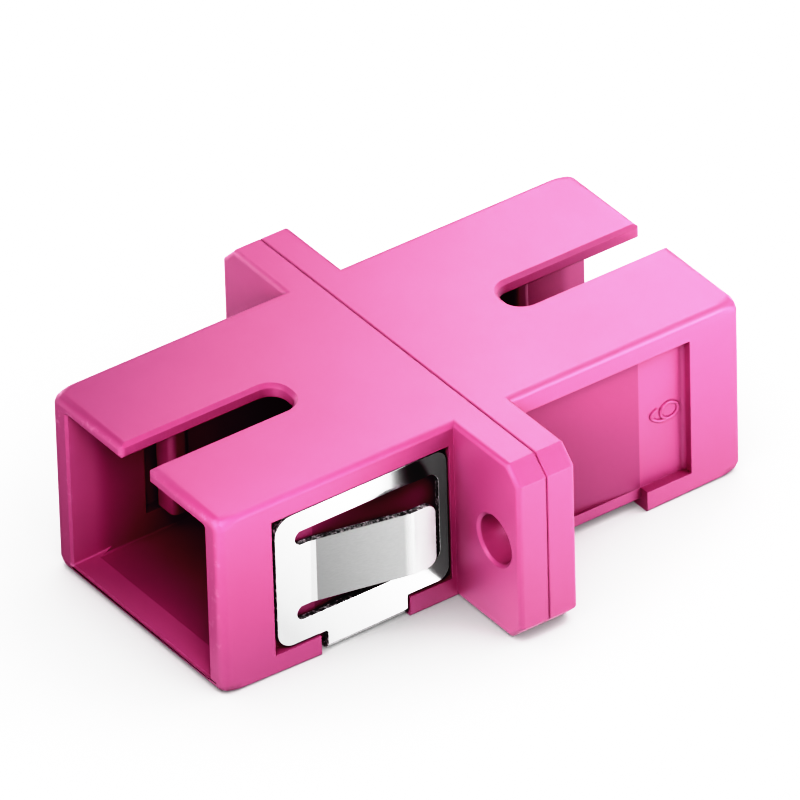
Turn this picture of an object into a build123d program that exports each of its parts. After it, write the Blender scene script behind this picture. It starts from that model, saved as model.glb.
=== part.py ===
from build123d import *
from math import radians, tan
import os

# Simplex fibre optic adapter with the SC footprint, in millimetres.
# X runs across the flange, Y along the optical axis, Z up to the key slots.
# The origin is on the optical axis, in the plane where the two housing halves meet.
# The front half, with the mounting clip, lies at -Y. Distances along Y are given
# for that half, counted from the parting plane, and the rear half is the same
# moulding turned round.

# Body
body_width = 12.8
body_height = 9.3
half_length = 14.1
top_edge_radius = 0.3
bottom_edge_radius = 0.12
rim_edge_radius = 0.4

# Flange
flange_width = 22.4
flange_half_thickness = 1.55
flange_corner_chamfer = 0.85
flange_edge_radius = 0.25
parting_edge_chamfer = 0.06
screw_hole_diameter = 2.35
screw_hole_inset = 1.9
screw_hole_bevel = 0.14
peg_diameter = 0.8
peg_length = 0.8

# Plug cavity
side_wall = 1.67
top_wall = 0.75
bottom_wall = 0.8
cavity_corner_radius = 0.1
rim_side_wall = 1.12
rim_top_wall = 0.7
rim_bottom_wall = 0.46
rim_break = 0.1
lead_in_angle = 17.0

# Key slot in the top wall
key_slot_width = 2.04
key_slot_closed_end = 5.85
key_slot_end_radius = 0.85
key_slot_mouth_radius = 0.3
key_slot_lower_bevel = 0.12
key_slot_upper_bevel = 0.18

# Side pockets and bottom channel for the clip
pocket_flange_strip = 0.25
pocket_length = 9.5
pocket_top_strip = 1.13
pocket_bottom_strip = 1.05
pocket_depth = 0.5
pocket_corner_radius = 0.2
ramp_lead = 0.25
ramp_depth = 0.35

# Latch insert
plate_thickness = 1.4
plate_side_shoulder = 0.8
plate_top_shoulder = 0.1
arm_thickness = 0.65
arm_height = 4.8
arm_length = 9.8
arm_root_radius = 0.4
hook_depth = 0.55
hook_thickness = 0.8
hook_nose_radius = 0.35
hook_back_slope = 0.45
arm_spring_room = 0.6
guide_wall = 0.65
guide_lip_length = 0.9
guide_lip_bore = 2.9
guide_mouth_chamfer = 0.25

# Alignment sleeve
sleeve_bore = 2.5
sleeve_wall = 0.35
sleeve_length = 11.4
sleeve_slit = 0.4
sleeve_end_chamfer = 0.1

# Mounting clip
sheet = 0.3
strap_width = 4.3
strap_near = 4.13
strap_recess = 0.02
strap_root_radius = 0.15
bend_radius = 0.12
clip_front_corner_radius = 0.9
clip_rear_corner_radius = 0.65
clip_top_rail = 1.05
clip_bottom_rail = 1.18
clip_rear_rail = 0.49
clip_slot_width = 0.7
clip_slot_margin = 1.08
window_corner_radius = 0.55
clip_slot_lead = 0.8
tongue_proud = 0.94
tongue_level = 1.19
tongue_tip_gap = 0.9
tongue_bend_radius = 0.6
tongue_tip_radius = 0.5

# Fits
insert_clearance = 0.05
arm_clearance = 0.05
arm_side_clearance = 0.25
sleeve_clearance = 0.05
sleeve_end_play = 0.05
peg_clearance = 0.05
clip_clearance = 0.1
clip_front_gap = 0.2
clip_rear_gap = 0.06
clip_top_gap = 0.12
clip_bottom_gap = 0.06
strap_front_gap = 0.43
strap_rear_gap = 0.06

# Room that cutting shapes take outside the solid
overcut = 1.0
# How much of the widest possible rounding a full round takes
full_round = 0.999

# Places that several pieces share
half_width = body_width / 2
half_height = body_height / 2
cavity_half_width = half_width - side_wall
cavity_top = half_height - top_wall
cavity_bottom = -half_height + bottom_wall
plate_pocket_half_width = cavity_half_width + plate_side_shoulder
plate_pocket_top = cavity_top + plate_top_shoulder
plate_pocket_bottom = cavity_bottom - plate_top_shoulder
plate_pocket_depth = plate_thickness + insert_clearance
hole_x = flange_width / 2 - screw_hole_inset
peg_x = (plate_pocket_half_width + hole_x - screw_hole_diameter / 2) / 2

arm_outer = cavity_half_width - arm_clearance
arm_inner = arm_outer - arm_thickness
arm_half_height = arm_height / 2

pocket_near = flange_half_thickness + pocket_flange_strip
pocket_far = pocket_near + pocket_length
pocket_top = half_height - pocket_top_strip
pocket_bottom = -half_height + pocket_bottom_strip
pocket_floor = half_width - pocket_depth

clip_inner = pocket_floor + clip_clearance
clip_outer = clip_inner + sheet
clip_near = pocket_near + clip_rear_gap
clip_far = pocket_far - clip_front_gap
clip_top = pocket_top - clip_top_gap
clip_bottom = pocket_bottom + clip_bottom_gap
slot_end = clip_far - clip_slot_margin
window_near = clip_near + clip_rear_rail
window_top = clip_top - clip_top_rail
window_bottom = clip_bottom + clip_bottom_rail
tongue_root = slot_end - clip_slot_lead
tongue_tip = window_near + tongue_tip_gap
strap_far = strap_near + strap_width
strap_outer = -half_height + strap_recess
strap_inner = strap_outer + sheet
channel_floor = strap_inner + clip_clearance
outer_bend_radius = bend_radius + sheet
bend_start = strap_outer + outer_bend_radius

sleeve_half_length = sleeve_length / 2
sleeve_radius = sleeve_bore / 2 + sleeve_wall
guide_bore_radius = sleeve_radius + sleeve_clearance
guide_bore_end = sleeve_half_length + sleeve_end_play
guide_radius = guide_bore_radius + guide_wall
guide_length = guide_bore_end + guide_lip_length


def span(x0, x1, y0, y1):
    """Rectangle between two corners of a sketch."""
    return Pos((x0 + x1) / 2, (y0 + y1) / 2) * Rectangle(x1 - x0, y1 - y0)


def prism(section, near, far):
    """X-Z section run along Y, from near to far in front of the parting plane."""
    return extrude(Plane.XZ.offset(near) * section, amount=far - near, dir=(0, -1, 0))


def plan(outline, low, high):
    """X-Y outline raised along Z from low to high."""
    return extrude(Plane.XY.offset(low) * outline, amount=high - low, dir=(0, 0, 1))


def both_sides(right):
    """A piece or a cut at +X together with its mirror image at -X."""
    return right + mirror(right, about=Plane.YZ)


def turned_round(front):
    """The same piece facing the rear."""
    return Rot(0, 0, 180) * front


def body_block():
    """Outer form of the body: rounded long edges, and a wider rounding all round the rim."""
    section = Rectangle(body_width, body_height)
    section = fillet(section.vertices().sort_by(Axis.Y)[2:], top_edge_radius)
    section = fillet(section.vertices().sort_by(Axis.Y)[:2], bottom_edge_radius)
    from_above = span(-half_width, half_width, -half_length, -parting_edge_chamfer)
    from_above = fillet(from_above.vertices().group_by(Axis.Y)[0], rim_edge_radius)
    from_the_side = span(-half_length, -parting_edge_chamfer, -half_height, half_height)
    from_the_side = fillet(from_the_side.vertices().group_by(Axis.X)[0], rim_edge_radius)
    block = prism(section, parting_edge_chamfer, half_length)
    block &= plan(from_above, -half_height, half_height)
    return block & extrude(Plane.YZ.offset(-half_width) * from_the_side, amount=body_width)


def flange_half():
    """Half of the flange: chamfered corners, soft front edge, fine edge at the parting plane."""
    section = Rectangle(flange_width, body_height)
    section = chamfer(section.vertices(), flange_corner_chamfer)
    plate = prism(section, 0, flange_half_thickness)
    plate = fillet(plate.faces().sort_by(Axis.Y)[0].edges(), flange_edge_radius)
    return chamfer(plate.faces().sort_by(Axis.Y)[-1].edges(), parting_edge_chamfer)


def cavity_section(side, top, bottom, radius):
    """Rounded opening that leaves the given side, top and bottom walls."""
    across = half_width - side
    opening = span(-across, across, -half_height + bottom, half_height - top)
    return fillet(opening.vertices(), radius)


def plug_cavity():
    """Straight cavity for the plug, opened at the rim by a tapered lead-in and a broken edge."""
    bore = cavity_section(side_wall, top_wall, bottom_wall, cavity_corner_radius)
    mouth = cavity_section(rim_side_wall, rim_top_wall, rim_bottom_wall, cavity_corner_radius)
    flare = side_wall - rim_side_wall
    lead_in_depth = flare / tan(radians(lead_in_angle))
    throat = cavity_section(rim_side_wall + flare, rim_top_wall + flare, rim_bottom_wall + flare,
                            cavity_corner_radius)
    edge = cavity_section(rim_side_wall - rim_break, rim_top_wall - rim_break,
                          rim_bottom_wall - rim_break, cavity_corner_radius + rim_break)
    straight = prism(bore, 0, half_length)
    lead_in = loft([Plane.XZ.offset(half_length - lead_in_depth) * throat,
                    Plane.XZ.offset(half_length) * mouth])
    broken_edge = loft([Plane.XZ.offset(half_length - rim_break) * mouth,
                        Plane.XZ.offset(half_length) * edge])
    return straight + lead_in + broken_edge


def plate_pocket():
    """Seat of the insert's base plate, behind a shoulder of the cavity."""
    seat = span(-plate_pocket_half_width, plate_pocket_half_width, plate_pocket_bottom, plate_pocket_top)
    return prism(seat, 0, plate_pocket_depth)


def arm_channels():
    """Side channels that deepen towards the hooks, so that the latch arms can spring out."""
    room = Polygon((arm_inner, -plate_pocket_depth / 2),
                   (cavity_half_width + arm_clearance, -plate_pocket_depth / 2),
                   (arm_outer + arm_spring_room, -arm_length - arm_spring_room),
                   (arm_inner, -arm_length - arm_spring_room), align=None)
    reach = arm_half_height + arm_side_clearance
    return both_sides(plan(room, -reach, reach))


def key_slot():
    """Slot for the plug's key: round closed end, flared mouth and bevelled edges above and below."""
    half = key_slot_width / 2
    slot = span(-half, half, -half_length - overcut, -key_slot_closed_end)
    slot = fillet(slot.vertices().group_by(Axis.Y)[-1], key_slot_end_radius)
    corner = half + key_slot_mouth_radius
    corner_line = -half_length + key_slot_mouth_radius
    flare = span(-corner, corner, -half_length - overcut, corner_line)
    flare -= Pos(corner, corner_line) * Circle(key_slot_mouth_radius)
    flare -= Pos(-corner, corner_line) * Circle(key_slot_mouth_radius)
    lower_bevel = loft([Plane.XY.offset(cavity_top) * offset(slot, key_slot_lower_bevel),
                        Plane.XY.offset(cavity_top + key_slot_lower_bevel) * slot])
    upper_bevel = loft([Plane.XY.offset(half_height - key_slot_upper_bevel) * slot,
                        Plane.XY.offset(half_height) * offset(slot, key_slot_upper_bevel)])
    through = plan(slot, 0, half_height + overcut) + plan(flare, 0, half_height + overcut)
    return through + lower_bevel + upper_bevel


def clip_pockets():
    """Side pockets of the clip; from the tongue's root the floor falls away to the flange."""
    outside = half_width + overcut
    recess = Polygon((outside, -pocket_near), (pocket_floor - ramp_depth, -pocket_near),
                     (pocket_floor, ramp_lead - tongue_root), (pocket_floor, -pocket_far),
                     (outside, -pocket_far), align=None)
    end_corner = recess.vertices().sort_by_distance((pocket_floor, -pocket_far))[0]
    recess = fillet(end_corner, pocket_corner_radius)
    return both_sides(plan(recess, pocket_bottom, pocket_top))


def strap_channel():
    """Channel that joins the two pockets round the underside, with room for the strap's bends."""
    outside = half_width + overcut
    around = span(-outside, outside, -half_height - overcut, pocket_bottom)
    core = span(-pocket_floor, pocket_floor, channel_floor, 0)
    core = fillet(core.vertices().group_by(Axis.Y)[0], bend_radius)
    return prism(around - core, strap_near - strap_rear_gap, strap_far + strap_front_gap)


def screw_holes():
    """Two through holes in the flange, bevelled where they open outwards."""
    centre = Pos(hole_x, 0)
    hole = centre * Circle(screw_hole_diameter / 2)
    mouth = centre * Circle(screw_hole_diameter / 2 + screw_hole_bevel)
    bevel = loft([Plane.XZ.offset(flange_half_thickness - screw_hole_bevel) * hole,
                  Plane.XZ.offset(flange_half_thickness) * mouth])
    return both_sides(prism(hole, -overcut, flange_half_thickness + overcut) + bevel)


def housing():
    """Front half shell. A peg on its right ear and a socket on its left ear match the turned half."""
    shell = body_block() + flange_half()
    shell -= plug_cavity() + plate_pocket() + arm_channels()
    shell -= key_slot()
    shell -= clip_pockets() + strap_channel()
    shell -= screw_holes()
    socket = Pos(-peg_x, 0) * Circle(peg_diameter / 2 + peg_clearance)
    shell -= prism(socket, 0, peg_length + peg_clearance)
    peg = Pos(peg_x, 0) * Circle(peg_diameter / 2)
    return shell + prism(peg, -peg_length, 0)


def latch_arm():
    """Springy arm at +X: inclined catch behind the hook, rounded nose in front of it."""
    catch = -arm_length + hook_thickness
    nose_x = arm_inner - hook_depth
    outline = Polygon((arm_outer, 0), (arm_outer, -arm_length), (nose_x, -arm_length),
                      (nose_x, catch), (arm_inner, catch + hook_back_slope), (arm_inner, 0), align=None)
    nose = outline.vertices().filter_by(lambda v: abs(v.X - nose_x) < arm_clearance)
    outline = fillet(nose, hook_nose_radius)
    return plan(outline, -arm_half_height, arm_half_height)


def arm_root():
    """Concave fillet between the base plate and the inside of the arm at +X."""
    centre_x = arm_inner - arm_root_radius
    centre_y = -plate_thickness - arm_root_radius
    corner = span(centre_x, arm_inner, centre_y, -plate_thickness)
    corner -= Pos(centre_x, centre_y) * Circle(arm_root_radius)
    return plan(corner, -arm_half_height, arm_half_height)


def ferrule_guide():
    """Tube round the alignment sleeve, with a lip that keeps the sleeve in."""
    tube = prism(Circle(guide_radius), 0, guide_length)
    mouth = tube.faces().sort_by(Axis.Y)[0].edges()
    return fillet(mouth, guide_mouth_chamfer)


def guide_bore():
    """Bore of the guide: room for the sleeve, then the lip's smaller bore and its lead-in."""
    lip_radius = guide_lip_bore / 2
    bore = prism(Circle(guide_bore_radius), 0, guide_bore_end)
    lip = prism(Circle(lip_radius), 0, guide_length)
    lead_in = loft([Plane.XZ.offset(guide_length - guide_mouth_chamfer) * Circle(lip_radius),
                    Plane.XZ.offset(guide_length) * Circle(lip_radius + guide_mouth_chamfer)])
    return bore + lip + lead_in


def latch_insert():
    """Front latch insert: base plate, two hook arms and the ferrule guide, moulded as one."""
    across = plate_pocket_half_width - insert_clearance
    base = span(-across, across, plate_pocket_bottom + insert_clearance, plate_pocket_top - insert_clearance)
    insert = prism(base, 0, plate_thickness) + ferrule_guide()
    insert += both_sides(latch_arm() + arm_root())
    return insert - guide_bore()


def alignment_sleeve():
    """Split ceramic sleeve; the slit is at the top."""
    ring = prism(Circle(sleeve_radius), -sleeve_half_length, sleeve_half_length)
    ring -= prism(Circle(sleeve_bore / 2), -sleeve_half_length, sleeve_half_length)
    ring = chamfer(ring.edges().filter_by(GeomType.CIRCLE), sleeve_end_chamfer)
    slit = span(-sleeve_slit / 2, sleeve_slit / 2, 0, sleeve_radius + overcut)
    return ring - prism(slit, -sleeve_half_length, sleeve_half_length)


def clip_frame():
    """Flat side of the clip at +X: rounded frame, window with two slots, stub of the strap."""
    root = tongue_root + tongue_bend_radius

    frame = span(-clip_far, -clip_near, clip_bottom, clip_top)
    frame = fillet(frame.vertices().group_by(Axis.X)[0], clip_front_corner_radius)
    frame = fillet(frame.vertices().group_by(Axis.X)[-1], clip_rear_corner_radius)
    frame += span(-strap_far, -strap_near, bend_start, clip_bottom)
    strap_roots = frame.vertices().filter_by(lambda v: -strap_far - sheet < v.X < -strap_near + sheet)
    strap_roots = strap_roots.filter_by(lambda v: abs(v.Y - clip_bottom) < clip_clearance)
    frame = fillet(strap_roots, strap_root_radius)

    window = span(-root, -window_near, window_bottom, window_top)
    window = fillet(window.vertices().group_by(Axis.X)[-1], window_corner_radius)
    frame -= window
    for low in (window_bottom, window_top - clip_slot_width):
        slot = span(-slot_end, -tongue_root, low, low + clip_slot_width)
        frame -= fillet(slot.vertices().group_by(Axis.X)[0], clip_slot_width / 2 * full_round)
    return extrude(Plane.YZ.offset(clip_inner) * frame, amount=sheet)


def clip_tongue():
    """Sprung tongue at +X: bent out at its root, straight up the rise, level at its tip."""
    crest = half_width + tongue_proud - sheet
    path = FilletPolyline((clip_inner, -tongue_root - tongue_bend_radius), (clip_inner, -tongue_root),
                          (crest, -tongue_tip - tongue_level), (crest, -tongue_tip), radius=tongue_bend_radius)
    strip = make_face(offset(path, amount=sheet, side=Side.RIGHT))
    tongue = plan(strip, window_bottom + clip_slot_width, window_top - clip_slot_width)
    tip = tongue.faces().sort_by(Axis.Y)[-1].edges().filter_by(Axis.X)
    return fillet(tip, tongue_tip_radius)


def clip_strap():
    """Strap under the body, bent up at both ends."""
    outer = span(-clip_outer, clip_outer, strap_outer, bend_start)
    outer = fillet(outer.vertices().group_by(Axis.Y)[0], outer_bend_radius * full_round)
    inner = span(-clip_inner, clip_inner, strap_inner, bend_start)
    inner = fillet(inner.vertices().group_by(Axis.Y)[0], bend_radius * full_round)
    return prism(outer - inner, strap_near, strap_far)


def mounting_clip():
    """Spring clip, folded from one strip of steel."""
    return clip_strap() + both_sides(clip_frame() + clip_tongue())


front_housing = housing()
front_latch_insert = latch_insert()
pieces = {
    "front_housing": front_housing,
    "rear_housing": turned_round(front_housing),
    "front_latch_insert": front_latch_insert,
    "rear_latch_insert": turned_round(front_latch_insert),
    "alignment_sleeve": alignment_sleeve(),
    "mounting_clip": mounting_clip(),
}

os.makedirs("parts", exist_ok=True)
for name, piece in pieces.items():
    export_step(piece, f"parts/{name}.step")
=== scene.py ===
from math import radians

import bmesh
import bpy
from mathutils import Matrix, Vector


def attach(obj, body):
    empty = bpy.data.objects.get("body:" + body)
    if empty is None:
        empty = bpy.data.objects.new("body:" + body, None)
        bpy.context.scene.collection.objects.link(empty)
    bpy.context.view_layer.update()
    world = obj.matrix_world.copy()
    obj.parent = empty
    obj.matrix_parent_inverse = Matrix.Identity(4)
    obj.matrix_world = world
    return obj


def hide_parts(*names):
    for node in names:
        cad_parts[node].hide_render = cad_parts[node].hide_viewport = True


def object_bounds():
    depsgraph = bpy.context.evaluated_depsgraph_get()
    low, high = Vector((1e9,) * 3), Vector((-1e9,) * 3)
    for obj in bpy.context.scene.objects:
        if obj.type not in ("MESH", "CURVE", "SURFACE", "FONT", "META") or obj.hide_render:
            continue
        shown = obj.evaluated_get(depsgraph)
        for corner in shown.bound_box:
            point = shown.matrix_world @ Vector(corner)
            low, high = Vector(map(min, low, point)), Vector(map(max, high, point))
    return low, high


# Simplex fibre optic adapter: looks of the moulded housings, the latch inserts,
# the ceramic sleeve and the folded steel clip. Metres, in the frame of the model.
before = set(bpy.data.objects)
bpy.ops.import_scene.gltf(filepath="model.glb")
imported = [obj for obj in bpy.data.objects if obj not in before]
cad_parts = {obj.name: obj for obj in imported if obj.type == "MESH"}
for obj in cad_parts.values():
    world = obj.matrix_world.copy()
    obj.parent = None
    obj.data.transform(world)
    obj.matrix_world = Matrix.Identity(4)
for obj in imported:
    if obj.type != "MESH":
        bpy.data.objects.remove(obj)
cad_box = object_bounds()

MM = 0.001


# Shader maths
class Value:
    """A socket that can be used in sums, products and comparisons."""

    def __init__(self, finish, socket):
        self.finish = finish
        self.socket = socket

    def math(self, operation, *others):
        return self.finish.node("ShaderNodeMath", {"operation": operation},
                                dict(enumerate((self, *others))))

    def __add__(self, other):
        return self.math("ADD", other)

    def __sub__(self, other):
        return self.math("SUBTRACT", other)

    def __mul__(self, other):
        return self.math("MULTIPLY", other)

    def __rsub__(self, other):
        return self.finish.node("ShaderNodeMath", {"operation": "SUBTRACT"}, {0: other, 1: self})

    __radd__ = __add__
    __rmul__ = __mul__

    def __abs__(self):
        return self.math("ABSOLUTE")

    def __gt__(self, other):
        return self.math("GREATER_THAN", other)

    def __lt__(self, other):
        return self.math("LESS_THAN", other)

    def fade(self, start, end):
        """0 at start and 1 at end, held beyond both."""
        return self.finish.node("ShaderNodeMapRange", {"clamp": True},
                                {"Value": self, "From Min": start, "From Max": end})


class Finish:
    """A material and its nodes."""

    def __init__(self, name):
        self.material = bpy.data.materials.new(name)
        self.material.use_nodes = True
        self.tree = self.material.node_tree
        self.tree.nodes.clear()

    def node(self, kind, settings=None, inputs=None, output=0):
        """Add a node, set it up, fill its sockets and return one of its outputs."""
        node = self.tree.nodes.new(kind)
        for key, value in (settings or {}).items():
            setattr(node, key, value)
        for key, value in (inputs or {}).items():
            if isinstance(value, Value):
                self.tree.links.new(value.socket, node.inputs[key])
            else:
                node.inputs[key].default_value = value
        return Value(self, node.outputs[output]) if node.outputs else None

    def axes(self):
        """Place on the object in millimetres, along X, Y and Z."""
        coordinates = self.node("ShaderNodeTexCoord", output="Object")
        return [self.node("ShaderNodeSeparateXYZ", {}, {"Vector": coordinates}, axis) * (1 / MM)
                for axis in "XYZ"]

    def facing(self):
        """How far the surface faces along X, Y and Z, from 0 to 1."""
        normal = self.node("ShaderNodeNewGeometry", output="True Normal")
        return [abs(self.node("ShaderNodeSeparateXYZ", {}, {"Vector": normal}, axis)) for axis in "XYZ"]

    def noise(self, size, detail=2.0, roughness=0.5, stretch=(1, 1, 1)):
        """Noise whose patches are about size metres across, from 0 to 1."""
        coordinates = self.node("ShaderNodeTexCoord", output="Object")
        place = self.node("ShaderNodeMapping", {}, {"Vector": coordinates, "Scale": stretch})
        return self.node("ShaderNodeTexNoise", {"noise_dimensions": "3D"},
                         {"Vector": place, "Scale": 1 / size, "Detail": detail, "Roughness": roughness})

    def mix(self, factor, first, second):
        """Colour between two colours."""
        return self.node("ShaderNodeMix", {"data_type": "RGBA"}, {0: factor, 6: first, 7: second}, 2)

    def ray(self, kind):
        """1 where the surface is seen by a kind of bounced light, such as Is Glossy Ray."""
        return self.node("ShaderNodeLightPath", output=kind)

    def bump(self, height, distance, round_edges=0.0):
        """Fine relief, with the look of rounded edges where a radius is given."""
        inputs = {"Height": height, "Distance": distance}
        if round_edges:
            inputs["Normal"] = self.node("ShaderNodeBevel", {"samples": 6}, {"Radius": round_edges})
        return self.node("ShaderNodeBump", {}, inputs)

    def surface(self, **inputs):
        """Close the material with a Principled shader; spaces in socket names are underscores."""
        shader = self.node("ShaderNodeBsdfPrincipled", {},
                           {key.replace("_", " "): value for key, value in inputs.items()})
        self.node("ShaderNodeOutputMaterial", {}, {"Surface": shader})
        return self.material


# Colours
def grey(level):
    """Neutral colour."""
    return level, level, level, 1


pink = (0.61, 0.25, 0.41, 1)
pink_shade = (0.585, 0.235, 0.39, 1)
pale_rub = (0.78, 0.48, 0.62, 1)
# Painted shade of the sloped pocket floors
painted_shade_pink = (0.46, 0.165, 0.29, 1)
# Painted reflection: the grey that the plastic shows in reflections
painted_reflection_grey = grey(0.21)
steel = grey(0.93)
steel_patch = grey(0.86)
satin_steel = grey(0.57)
# Sheared edges: their own dark cut face, and partly painted shade of the gaps beside them
sheared_steel_and_gap_shade = grey(0.20)
zirconia = (0.82, 0.81, 0.77, 1)
zirconia_cloud = (0.77, 0.76, 0.71, 1)
paper = grey(0.205)
paper_mottle = grey(0.20)
paper_glow = grey(0.34)
bounced_paper = grey(0.10)
bounced_glow = grey(0.50)
card_black = grey(0.02)

# Where the finishes, the painted shade and the painted highlight change, in millimetres from the middle of
# the adapter
rub_start, rub_full = 13.9, 14.1
ramp_inside, ramp_outside, ramp_end, ramp_height = 5.5, 5.893, 8.97, 4.6
tongue_inside = 6.36
satin_front, satin_full, satin_end = -9.1, -4.9, -4.2
# Painted highlight on the tongue tips
tip_highlight_start, tip_highlight_full = -4.6, -4.0
strap_top = -4.2
glow_front, glow_rear = -9, -1

# How far a surface has to face along an axis
half_facing, nearly_facing, fully_facing = 0.5, 0.7, 0.9


def moulded_plastic(name):
    """Satin moulded plastic: mould grain, flow clouds, pale rubbed rims, painted shade on the sloped
    pocket floors, and a painted grey where the steel reflects it.
    """
    finish = Finish(name)
    x, y, z = finish.axes()
    facing_x = finish.facing()[0]
    clouds = finish.noise(5 * MM, detail=3.0)
    grain = finish.noise(0.10 * MM, detail=2.0, roughness=0.6)
    rub = finish.noise(0.7 * MM, detail=6.0, roughness=0.7)
    rubbed = abs(y).fade(rub_start, rub_full) * rub.fade(0.56, 0.70)
    # Painted shade: the sloped pocket floors towards the flanges are painted a darker pink
    ramp_shade = (abs(x) < ramp_outside) * (abs(x) > ramp_inside) * (facing_x > fully_facing)
    ramp_shade = ramp_shade * (abs(y) < ramp_end) * (abs(z) < ramp_height)
    tint = finish.mix(clouds, pink, pink_shade)
    tint = finish.mix(rubbed * 0.45, tint, pale_rub)
    tint = finish.mix(ramp_shade * 0.75, tint, painted_shade_pink)
    return finish.surface(
        # Painted reflection: seen in reflections, as in the steel clip, the plastic is painted neutral
        # grey instead of pink
        Base_Color=finish.mix(finish.ray("Is Glossy Ray"), tint, painted_reflection_grey),
        Roughness=0.40 + 0.05 * rub + 0.03 * clouds,
        IOR=1.6,
        Specular_IOR_Level=0.94,
        Normal=finish.bump(grain, 0.0025 * MM, round_edges=0.05 * MM),
    )


def rolled_steel(name):
    """Bright rolled spring steel: satin tongues, tongue tips made partly non-metallic and rough so they
    show white as a painted highlight, rolling lines, and speckled sheared edges painted dark, partly as
    the shade of the gaps beside them.
    """
    finish = Finish(name)
    x, y, z = finish.axes()
    facing_x, facing_y = finish.facing()[:2]
    lines = finish.noise(0.05 * MM, detail=2.0, stretch=(1, 0.04, 1))
    patches = finish.noise(1.2 * MM, detail=4.0, roughness=0.6)
    specks = finish.noise(0.16 * MM, detail=4.0, roughness=0.7)
    tongue = abs(x) > tongue_inside
    satin = tongue * (y > satin_front) * y.fade(satin_end, satin_full) * (facing_x > half_facing)
    tip_highlight = tongue * y.fade(tip_highlight_start, tip_highlight_full)
    side_edge = (z > strap_top) * (facing_x < half_facing)
    strap_edge = (z < strap_top) * (facing_y > nearly_facing)
    sheared_and_gap_shade = (side_edge + strap_edge).math("MINIMUM", 1.0)
    bright = finish.mix(patches, steel, steel_patch)
    toned = finish.mix(satin * (0.85 + 0.15 * lines), bright, satin_steel)
    return finish.surface(
        # Sheared edges painted dark grey with specks: partly their own rough cut face, partly painted
        # shade of the gaps beside them
        Base_Color=finish.mix(sheared_and_gap_shade * specks.fade(0.66, 0.44), toned, sheared_steel_and_gap_shade),
        # Painted highlight: the tongue tips are made partly non-metallic and rougher, so they show white
        Metallic=1 - 0.6 * tip_highlight - 0.7 * sheared_and_gap_shade,
        Roughness=0.12 + 0.05 * patches + 0.03 * lines + 0.16 * satin + 0.3 * tip_highlight + 0.2 * sheared_and_gap_shade,
        Normal=finish.bump(lines, 0.0008 * MM, round_edges=0.04 * MM),
    )


def ground_ceramic(name):
    """White zirconia, ground and polished."""
    finish = Finish(name)
    marks = finish.noise(0.08 * MM, detail=3.0, stretch=(1, 6, 1))
    clouds = finish.noise(2 * MM)
    return finish.surface(
        Base_Color=finish.mix(clouds, zirconia, zirconia_cloud),
        Roughness=0.16 + 0.08 * marks,
        IOR=2.1,
        Normal=finish.bump(marks, 0.0006 * MM),
    )


def pale_paper(name):
    """Matt paper that glows a little, with other tones for the light that it throws back."""
    finish = Finish(name)
    mottle = finish.noise(40 * MM)
    bounced = finish.ray("Is Diffuse Ray")
    return finish.surface(
        Base_Color=finish.mix(bounced, finish.mix(mottle, paper, paper_mottle), bounced_paper),
        Roughness=0.9,
        Specular_IOR_Level=0.1,
        Emission_Color=finish.mix(bounced, paper_glow, bounced_glow),
        Emission_Strength=1.0,
    )


def glowing_card(name, front_glow, rear_glow):
    """Dark matt card with one glow at the front, another at the rear, and a fade beside the clip."""
    finish = Finish(name)
    y = finish.axes()[1]
    return finish.surface(
        Base_Color=card_black,
        Roughness=0.8,
        Emission_Color=finish.mix(y.fade(glow_front, glow_rear), grey(front_glow), grey(rear_glow)),
        Emission_Strength=1.0,
    )


# Pieces
weld_distance = 0.0005 * MM


def placed(name, data):
    """A new object of the scene, at the origin."""
    thing = bpy.data.objects.new(name, data)
    bpy.context.scene.collection.objects.link(thing)
    return thing


def made(name, form, material):
    """A new object with a form's mesh and a material. The form is used up."""
    mesh = bpy.data.meshes.new(name)
    form.to_mesh(mesh)
    form.free()
    mesh.materials.append(material)
    return placed(name, mesh)


def whole_faces(node):
    """Form of a node with its triangles joined into whole faces again."""
    form = bmesh.new()
    form.from_mesh(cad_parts[node].data)
    bmesh.ops.remove_doubles(form, verts=form.verts, dist=weld_distance)
    bmesh.ops.dissolve_limit(form, angle_limit=radians(0.8), verts=form.verts, edges=form.edges)
    return form


# Outer corners of the housings, which grow rounder towards the mouths
half_width, half_length, half_height = 6.4 * MM, 14.1 * MM, 4.65 * MM
rim_radius = 0.4 * MM
rim_start = half_length - rim_radius
edge_radius, corner_radius = 0.3 * MM, 0.56 * MM
rounding_start = 13.0 * MM
cut_lengths = (13.25 * MM, 13.5 * MM, rim_start)
cut_insets = (corner_radius, 0.5 * MM)
cut_margin, cut_snap = 0.001 * MM, 0.0001 * MM


def cut_across(form, place, direction, beyond):
    """Draw edges where a plane crosses the faces that lie beyond a distance from the middle along Y."""
    faces = [face for face in form.faces if min(abs(v.co.y) for v in face.verts) > beyond - cut_margin]
    parts = {part for face in faces for part in (face, *face.edges, *face.verts)}
    bmesh.ops.bisect_plane(form, geom=list(parts), dist=cut_snap, plane_co=place, plane_no=direction)


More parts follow.
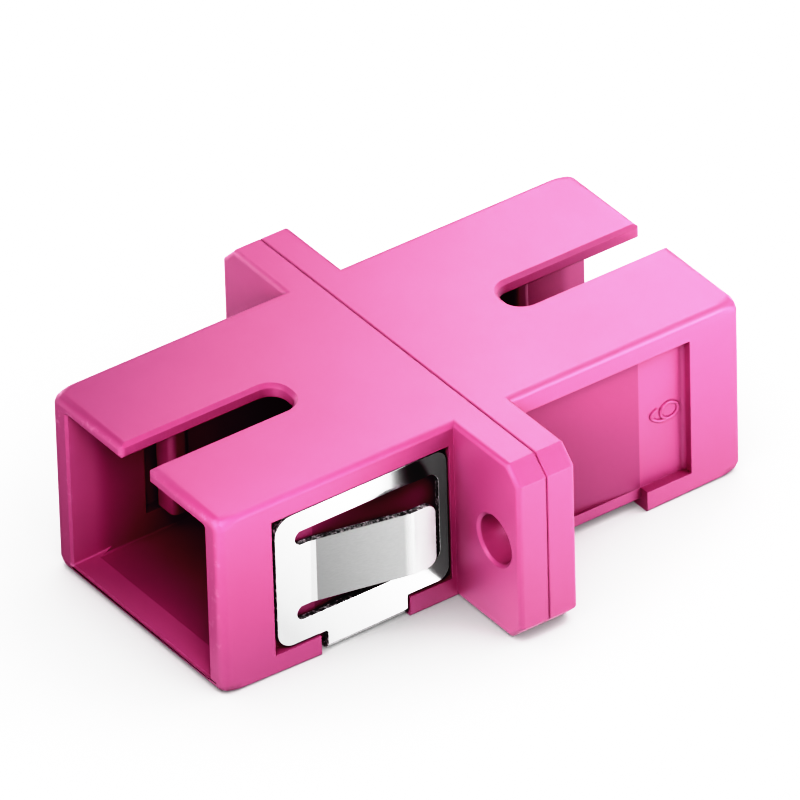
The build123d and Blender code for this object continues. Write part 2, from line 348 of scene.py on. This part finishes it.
def round_corners(form):
    """Grow the radius of the four long outer edges over the last millimetre before a mouth."""
    for side in (-1, 1):
        cut_across(form, (0, side * rounding_start, 0), (0, 1, 0), 0)
    for side in (-1, 1):
        for length in cut_lengths:
            cut_across(form, (0, side * length, 0), (0, 1, 0), rounding_start)
        for inset in cut_insets:
            cut_across(form, (side * (half_width - inset), 0, 0), (1, 0, 0), rounding_start)
            cut_across(form, (0, 0, side * (half_height - inset)), (0, 0, 1), rounding_start)
    for vertex in form.verts:
        x, y, z = vertex.co
        if abs(y) < rounding_start:
            continue
        share = min((abs(y) - rounding_start) / (rim_start - rounding_start), 1)
        radius = edge_radius + (corner_radius - edge_radius) * share ** 2
        over_rim = max(abs(y) - rim_start, 0)
        inset = rim_radius - max(rim_radius ** 2 - over_rim ** 2, 0) ** 0.5
        centre = Vector((half_width - inset - radius, half_height - inset - radius))
        reach = Vector((abs(x), abs(z))) - centre
        if min(reach) > 0 and reach.length > radius:
            across, up = centre + reach.normalized() * radius
            vertex.co = (across if x > 0 else -across, y, up if z > 0 else -up)


def soften_edges(form, radius):
    """Round the sharp edges a little, as moulding or tumbling leaves them, with smooth shading between."""
    sharp_turn, hard_turn, slight_turn = radians(32), radians(50), radians(1)
    broad_area = MM ** 2
    sharp = [e for e in form.edges if len(e.link_faces) == 2 and e.calc_face_angle(0) > sharp_turn]
    bmesh.ops.bevel(form, geom=sharp, offset=radius, offset_type="OFFSET", segments=2,
                    profile=0.5, affect="EDGES", clamp_overlap=True, material=-1)
    for face in form.faces:
        face.smooth = True
    for crease in form.edges:
        turn = crease.calc_face_angle(0)
        broad = len(crease.link_faces) == 2 and min(f.calc_area() for f in crease.link_faces) > broad_area
        crease.smooth = turn < hard_turn and not (broad and turn > slight_turn)


def dressed(node, name, material, softness, rounded=False):
    """The visible piece of a node: its form with softened edges, flat faces shaded flat, and a finish."""
    form = whole_faces(node)
    if rounded:
        round_corners(form)
    soften_edges(form, softness)
    piece = made(name, form, material)
    flat = piece.modifiers.new("flat faces", "WEIGHTED_NORMAL")
    flat.keep_sharp = True
    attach(piece, "root")
    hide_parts(node)


moulded_edge, ground_edge, tumbled_edge = 0.045 * MM, 0.02 * MM, 0.05 * MM
housing_finish = moulded_plastic("pink_moulded_plastic")
insert_finish = moulded_plastic("pink_insert_plastic")
steel_finish = rolled_steel("bright_rolled_steel")
ceramic_finish = ground_ceramic("polished_zirconia")

for end in ("front", "rear"):
    dressed(f"{end}_housing", f"{end}_shell", housing_finish, moulded_edge, rounded=True)
    dressed(f"{end}_latch_insert", f"{end}_latches", insert_finish, moulded_edge)
dressed("alignment_sleeve", "split_sleeve", ceramic_finish, ground_edge)
dressed("mounting_clip", "spring_clip", steel_finish, tumbled_edge)

# Cavity number on the floor of the rear recess, read with its head towards the flange
recess_floor_x = 5.9 * MM
number_height = 1.5 * MM
number_width = 0.9 * MM
number_stroke = 0.19 * MM
number_relief = 0.09 * MM
number_centre = Vector((recess_floor_x, 10.2 * MM, -0.06 * MM))
head_to_flange = Matrix(((0, 0, 1), (0, -1, 0), (1, 0, 0))).to_4x4()
# The six in one stroke, in halves of its width and height from its centre
six = ((0.70, 0.50), (0.15, 0.95), (-0.65, 0.60), (-0.95, -0.15), (-0.60, -0.82), (0.05, -1.0),
       (0.80, -0.62), (0.80, -0.02), (0.12, 0.26), (-0.62, 0.06), (-0.93, -0.30))


def round_stroke(path):
    """Form of a round stroke along a smooth path, given in halves of the number's width and height."""
    stroke = bpy.data.curves.new("number_stroke", "CURVE")
    stroke.dimensions = "3D"
    stroke.resolution_u = 8
    stroke.bevel_depth = number_stroke / 2
    stroke.bevel_resolution = 4
    stroke.use_fill_caps = True
    line = stroke.splines.new("BEZIER")
    line.bezier_points.add(len(path) - 1)
    for point, (across, up) in zip(line.bezier_points, path):
        point.co = (across * number_width / 2, up * number_height / 2, 0)
        point.handle_left_type = point.handle_right_type = "AUTO"
    source = placed("number_stroke", stroke)
    mesh = bpy.data.meshes.new_from_object(source.evaluated_get(bpy.context.evaluated_depsgraph_get()))
    form = bmesh.new()
    form.from_mesh(mesh)
    bpy.data.objects.remove(source)
    bpy.data.meshes.remove(mesh)
    return form


def cavity_number(path):
    """Raised number moulded in one round stroke, half sunk in the floor of the recess."""
    form = round_stroke(path)
    bmesh.ops.remove_doubles(form, verts=form.verts, dist=weld_distance)
    bmesh.ops.scale(form, verts=form.verts, vec=(1, 1, 2 * number_relief / number_stroke))
    bmesh.ops.transform(form, matrix=Matrix.Translation(number_centre) @ head_to_flange, verts=form.verts)
    for face in form.faces:
        face.smooth = True
    piece = made("cavity_number", form, housing_finish)
    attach(piece, "root")


cavity_number(six)
pieces = [thing for thing in bpy.context.scene.objects if thing.type == "MESH"]


# Floor and cards
def flat_sheet(name, left, right, front, rear, lift, material):
    """Level sheet between four places, lifted off the ground, all in millimetres."""
    form = bmesh.new()
    bmesh.ops.create_grid(form, x_segments=1, y_segments=1, size=0.5)
    bmesh.ops.scale(form, verts=form.verts, vec=((right - left) * MM, (rear - front) * MM, 1))
    middle = ((left + right) / 2 * MM, (front + rear) / 2 * MM, cad_box[0][2] + lift * MM)
    bmesh.ops.translate(form, verts=form.verts, vec=middle)
    return made(name, form, material)


def floor_sheet():
    """Plain pale ground under the adapter, larger than any view of it."""
    reach = 1500
    floor = flat_sheet("floor", -reach, reach, -reach, reach, 0, pale_paper("pale_floor"))
    return floor


def reflected_card(name, left, right, front, rear, front_glow, rear_glow):
    """Flat card just over the floor that only reflections show."""
    lift = 0.02
    card = flat_sheet(name, left, right, front, rear, lift, glowing_card(name, front_glow, rear_glow))
    card.visible_camera = card.visible_diffuse = card.visible_shadow = False


# Light
def lit_group(name, members):
    """Objects that a light shines on."""
    group = bpy.data.collections.new(name)
    for member in members:
        group.objects.link(member)
    return group


on_adapter = lit_group("lit_adapter", pieces)
on_floor = lit_group("lit_floor", [floor_sheet()])


def hung_lamp(name, light, place, group):
    """A light that looks at the adapter, shines on one group and is hidden from the camera."""
    lamp = placed(name, light)
    lamp.location = place
    lamp.rotation_euler = (-Vector(place)).to_track_quat("-Z", "Y").to_euler()
    lamp.visible_camera = False
    lamp.light_linking.receiver_collection = group
    return lamp


def softbox(name, place, size, power, gloss=True):
    """White square area light on the adapter; place and size in millimetres, power in watts."""
    light = bpy.data.lights.new(name, "AREA")
    light.shape = "SQUARE"
    light.size = size * MM
    light.energy = power
    lamp = hung_lamp(name, light, Vector(place) * MM, on_adapter)
    lamp.visible_glossy = gloss


def floor_sky(strength):
    """Wide overhead light on the floor, which leaves a soft shadow round the adapter."""
    overhead = (0.05, 0.06, 0.3)
    light = bpy.data.lights.new("floor_sky", "SUN")
    light.energy = strength
    light.angle = radians(120)
    hung_lamp("floor_sky", light, overhead, on_floor)


floor_sky(17.6)
reflected_card("white_card", 6.45, 150, -120, 150, 1.02, 1.6)
reflected_card("dark_card", -24, 3, -40, -12, 0.35, 0.35)

near_box, low_box, wide_box, far_box = 22, 30, 44, 100
softbox("right_front_box", (25, -24, 25), near_box, 0.0142, gloss=False)
softbox("right_rear_box", (18, 24, 25), near_box, 0.0058, gloss=False)
softbox("left_box", (-60, -10, 14), wide_box, 0.0200)
softbox("rear_box", (-12, 60, 14), wide_box, 0.0150)
softbox("right_low_box", (30, 16, 5), near_box, 0.0036)
softbox("rear_low_box", (60, 45, 12), wide_box, 0.0120)
softbox("top_box", (-4, 14, 40), near_box, 0.0036)
softbox("rear_sheen_box", (-22, 31, 27), near_box, 0.0050)
softbox("front_sheen_box", (-21, 10, 27), near_box, 0.0030)
softbox("front_box", (0, -173, 100), far_box, 0.125)
softbox("front_low_box", (-6, -60, 4), low_box, 0.0045)

world = bpy.data.worlds.new("studio")
world.use_nodes = True
background = world.node_tree.nodes["Background"].inputs
background["Color"].default_value = grey(1)
background["Strength"].default_value = 0.02
bpy.context.scene.world = world


def print_tones():
    """Contrast of a printed product picture: deep shades, rich middle tones, clear whites."""
    view = bpy.context.scene.view_settings
    view.view_transform = "Standard"
    view.use_curve_mapping = True
    tones = view.curve_mapping
    brightest = 2.0
    tones.white_level = (brightest,) * 3
    curve = tones.curves[3]
    steps = ((0.10, 0.002), (0.20, 0.0055), (0.35, 0.0600), (0.50, 0.195), (0.65, 0.385), (0.80, 0.625),
             (1.0, 0.885), (1.2, 0.955), (1.45, 1.0))
    for light, tone in steps:
        curve.points.new(light / brightest, tone)
    curve.points[0].location = (0, 0)
    curve.points[-1].location = (1, 1)
    for point in curve.points:
        point.handle_type = "AUTO_CLAMPED"
    tones.update()


print_tones()


# Camera
def set_camera():
    """The photograph's view: from the front right, looking down, with a long lens."""
    camera = bpy.data.cameras.new("camera")
    camera.sensor_width = 36
    camera.lens = 672.2
    camera.clip_start = 0.05
    camera.clip_end = 10
    view = placed("camera", camera)
    view.location = (0.44337, -0.30717, 0.38060)
    view.rotation_euler = (radians(54.8986), radians(1.3448), radians(54.3309))
    bpy.context.scene.camera = view


set_camera()
